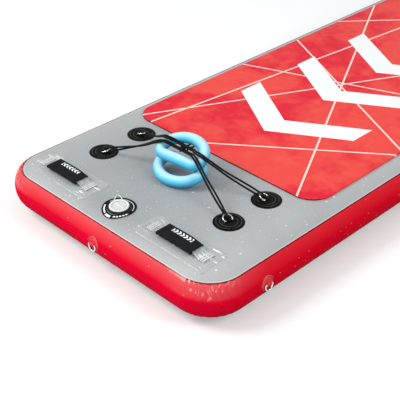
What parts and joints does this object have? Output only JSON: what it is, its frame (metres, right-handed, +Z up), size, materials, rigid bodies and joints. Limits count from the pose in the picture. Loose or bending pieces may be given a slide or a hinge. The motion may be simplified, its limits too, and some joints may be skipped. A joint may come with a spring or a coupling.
{
  "type": "inflatable floating fitness mat",
  "caption": "Inflatable floating mat with a foam deck pad, screw valve, carry handles, D-rings and two soft pull grips on elastic cords.",
  "frame": {"origin": "middle of the flat underside that floats on the water", "axes": "+X across the width, +Y along the length away from the valve end, +Z up"},
  "size_m": [0.9188, 2.4188, 0.2597],
  "materials": {
    "woven_panel": "coated woven polyester with drop threads",
    "grey_pvc": "pale grey reinforced PVC skin, lightly grained, satin",
    "red_pvc": "red reinforced PVC, satin",
    "red_foam": "closed-cell foam with a fine embossed texture",
    "white_plastic": "white moulded plastic",
    "black_plastic": "black moulded plastic of the valve body",
    "black_rubber": "moulded black rubber, satin",
    "black_label": "printed black film",
    "stainless_steel": "polished stainless steel",
    "clear_pvc": "clear ribbed PVC sheet and strap over the grey skin",
    "black_neoprene": "padded black neoprene with a bound edge",
    "elastic_cord": "black braided sleeve over rubber strands",
    "blue_grip": "soft light blue foam tube"
  },
  "bodies": {
    "root": {"drop_stitch_panel": "woven_panel", "inner_side_wall": "woven_panel", "deck_skin": "grey_pvc", "bottom_skin": "grey_pvc", "rail_band": "red_pvc", "deck_pad": "red_foam", "valve_body": "black_plastic", "valve_gasket": "black_rubber", "valve_nut": "black_plastic", "valve_spring": "stainless_steel", "valve_tether": "white_plastic", "valve_label": "black_label", "deck_ring_patch_front_left": "black_rubber", "deck_ring_patch_front_right": "black_rubber", "deck_ring_patch_rear_left": "black_rubber", "deck_ring_patch_rear_right": "black_rubber", "rail_ring_patch_front": "red_pvc", "rail_ring_patch_rear": "red_pvc", "rail_ring_patch_front_left": "red_pvc", "rail_ring_patch_front_right": "red_pvc", "rail_ring_patch_rear_left": "red_pvc", "rail_ring_patch_rear_right": "red_pvc", "handle_base_front_left": "clear_pvc", "handle_base_front_right": "clear_pvc", "handle_base_rear_left": "clear_pvc", "handle_base_rear_right": "clear_pvc", "handle_strap_front_left": "clear_pvc", "handle_strap_front_right": "clear_pvc", "handle_strap_rear_left": "clear_pvc", "handle_strap_rear_right": "clear_pvc", "elastic_cord_front_left": "elastic_cord", "elastic_cord_front_right": "elastic_cord", "elastic_cord_rear_left": "elastic_cord", "elastic_cord_rear_right": "elastic_cord"},
    "pull_grips": {"pull_grip_lower": "blue_grip", "pull_grip_upper": "blue_grip", "cord_knot": "elastic_cord"},
    "tie_ring_front_left": {"deck_ring_front_left": "stainless_steel"},
    "tie_ring_front_right": {"deck_ring_front_right": "stainless_steel"},
    "tie_ring_rear_left": {"deck_ring_rear_left": "stainless_steel"},
    "tie_ring_rear_right": {"deck_ring_rear_right": "stainless_steel"},
    "clip_ring_front": {"rail_ring_front": "stainless_steel"},
    "clip_ring_rear": {"rail_ring_rear": "stainless_steel"},
    "clip_ring_front_left": {"rail_ring_front_left": "stainless_steel"},
    "clip_ring_front_right": {"rail_ring_front_right": "stainless_steel"},
    "clip_ring_rear_left": {"rail_ring_rear_left": "stainless_steel"},
    "clip_ring_rear_right": {"rail_ring_rear_right": "stainless_steel"},
    "carry_grip_front_left": {"handle_grip_front_left": "black_neoprene"},
    "carry_grip_front_right": {"handle_grip_front_right": "black_neoprene"},
    "carry_grip_rear_left": {"handle_grip_rear_left": "black_neoprene"},
    "carry_grip_rear_right": {"handle_grip_rear_right": "black_neoprene"},
    "cap_carrier": {"valve_cap_seal": "black_rubber"},
    "cap": {"valve_cap": "white_plastic"},
    "plunger": {"valve_plunger": "white_plastic"}
  },
  "joints": [
    {"name": "pull_grips_lift", "type": "slide", "parent": "root", "child": "pull_grips", "axis": [0, 0, 1], "range_m": [0, 0.2], "stiffness_N_per_m": 150, "deforming": ["elastic_cord_front_left", "elastic_cord_front_right", "elastic_cord_rear_left", "elastic_cord_rear_right"]},
    {"name": "deck_ring_front_left_tilt", "type": "hinge", "parent": "root", "child": "tie_ring_front_left", "pos_m": [-0.26, -0.9385, 0.1559], "axis": [0.3254, -0.9456, 0], "range_deg": [0, 33.3]},
    {"name": "deck_ring_front_right_tilt", "type": "hinge", "parent": "root", "child": "tie_ring_front_right", "pos_m": [0.26, -0.9385, 0.1559], "axis": [0.311, 0.9504, 0], "range_deg": [0, 33.3]},
    {"name": "deck_ring_rear_left_tilt", "type": "hinge", "parent": "root", "child": "tie_ring_rear_left", "pos_m": [-0.26, -0.7872, 0.1559], "axis": [-0.3469, -0.9379, 0], "range_deg": [0, 33.3]},
    {"name": "deck_ring_rear_right_tilt", "type": "hinge", "parent": "root", "child": "tie_ring_rear_right", "pos_m": [0.26, -0.7872, 0.1559], "axis": [-0.3557, 0.9346, 0], "range_deg": [0, 33.3]},
    {"name": "rail_ring_front_swing", "type": "hinge", "parent": "root", "child": "clip_ring_front", "pos_m": [0, -1.2049, 0.078], "axis": [-1, 0, 0], "range_deg": [0, 150]},
    {"name": "rail_ring_rear_swing", "type": "hinge", "parent": "root", "child": "clip_ring_rear", "pos_m": [0, 1.2049, 0.078], "axis": [1, 0, 0], "range_deg": [0, 150]},
    {"name": "rail_ring_front_left_swing", "type": "hinge", "parent": "root", "child": "clip_ring_front_left", "pos_m": [-0.4549, -0.99, 0.078], "axis": [0, 1, 0], "range_deg": [0, 150]},
    {"name": "rail_ring_front_right_swing", "type": "hinge", "parent": "root", "child": "clip_ring_front_right", "pos_m": [0.4549, -0.99, 0.078], "axis": [0, -1, 0], "range_deg": [0, 150]},
    {"name": "rail_ring_rear_left_swing", "type": "hinge", "parent": "root", "child": "clip_ring_rear_left", "pos_m": [-0.4549, 0.99, 0.078], "axis": [0, 1, 0], "range_deg": [0, 150]},
    {"name": "rail_ring_rear_right_swing", "type": "hinge", "parent": "root", "child": "clip_ring_rear_right", "pos_m": [0.4549, 0.99, 0.078], "axis": [0, -1, 0], "range_deg": [0, 150]},
    {"name": "carry_grip_front_left_lift", "type": "slide", "parent": "root", "child": "carry_grip_front_left", "axis": [0, 0, 1], "range_m": [0, 0.02], "deforming": ["handle_strap_front_left"]},
    {"name": "carry_grip_front_right_lift", "type": "slide", "parent": "root", "child": "carry_grip_front_right", "axis": [0, 0, 1], "range_m": [0, 0.02], "deforming": ["handle_strap_front_right"]},
    {"name": "carry_grip_rear_left_lift", "type": "slide", "parent": "root", "child": "carry_grip_rear_left", "axis": [0, 0, 1], "range_m": [0, 0.02], "deforming": ["handle_strap_rear_left"]},
    {"name": "carry_grip_rear_right_lift", "type": "slide", "parent": "root", "child": "carry_grip_rear_right", "axis": [0, 0, 1], "range_m": [0, 0.02], "deforming": ["handle_strap_rear_right"]},
    {"name": "cap_lift", "type": "slide", "parent": "root", "child": "cap_carrier", "axis": [0, -0.0523, 0.9986], "range_m": [0, 0.025], "deforming": ["valve_tether"]},
    {"name": "cap_turn", "type": "hinge", "parent": "cap_carrier", "child": "cap", "pos_m": [0, -1.102, 0.1521], "axis": [0, -0.0523, 0.9986], "range_deg": [0, 120]},
    {"name": "plunger_press", "type": "slide", "parent": "root", "child": "plunger", "axis": [0, -0.0523, 0.9986], "range_m": [-0.006, 0], "stiffness_N_per_m": 400, "deforming": ["valve_spring"]}
  ],
  "couplings": [
    {"joint": "deck_ring_front_left_tilt", "follows": "pull_grips_lift", "rad_per_m": 2.9},
    {"joint": "deck_ring_front_right_tilt", "follows": "pull_grips_lift", "rad_per_m": 2.9},
    {"joint": "deck_ring_rear_left_tilt", "follows": "pull_grips_lift", "rad_per_m": 2.9},
    {"joint": "deck_ring_rear_right_tilt", "follows": "pull_grips_lift", "rad_per_m": 2.9}
  ]
}
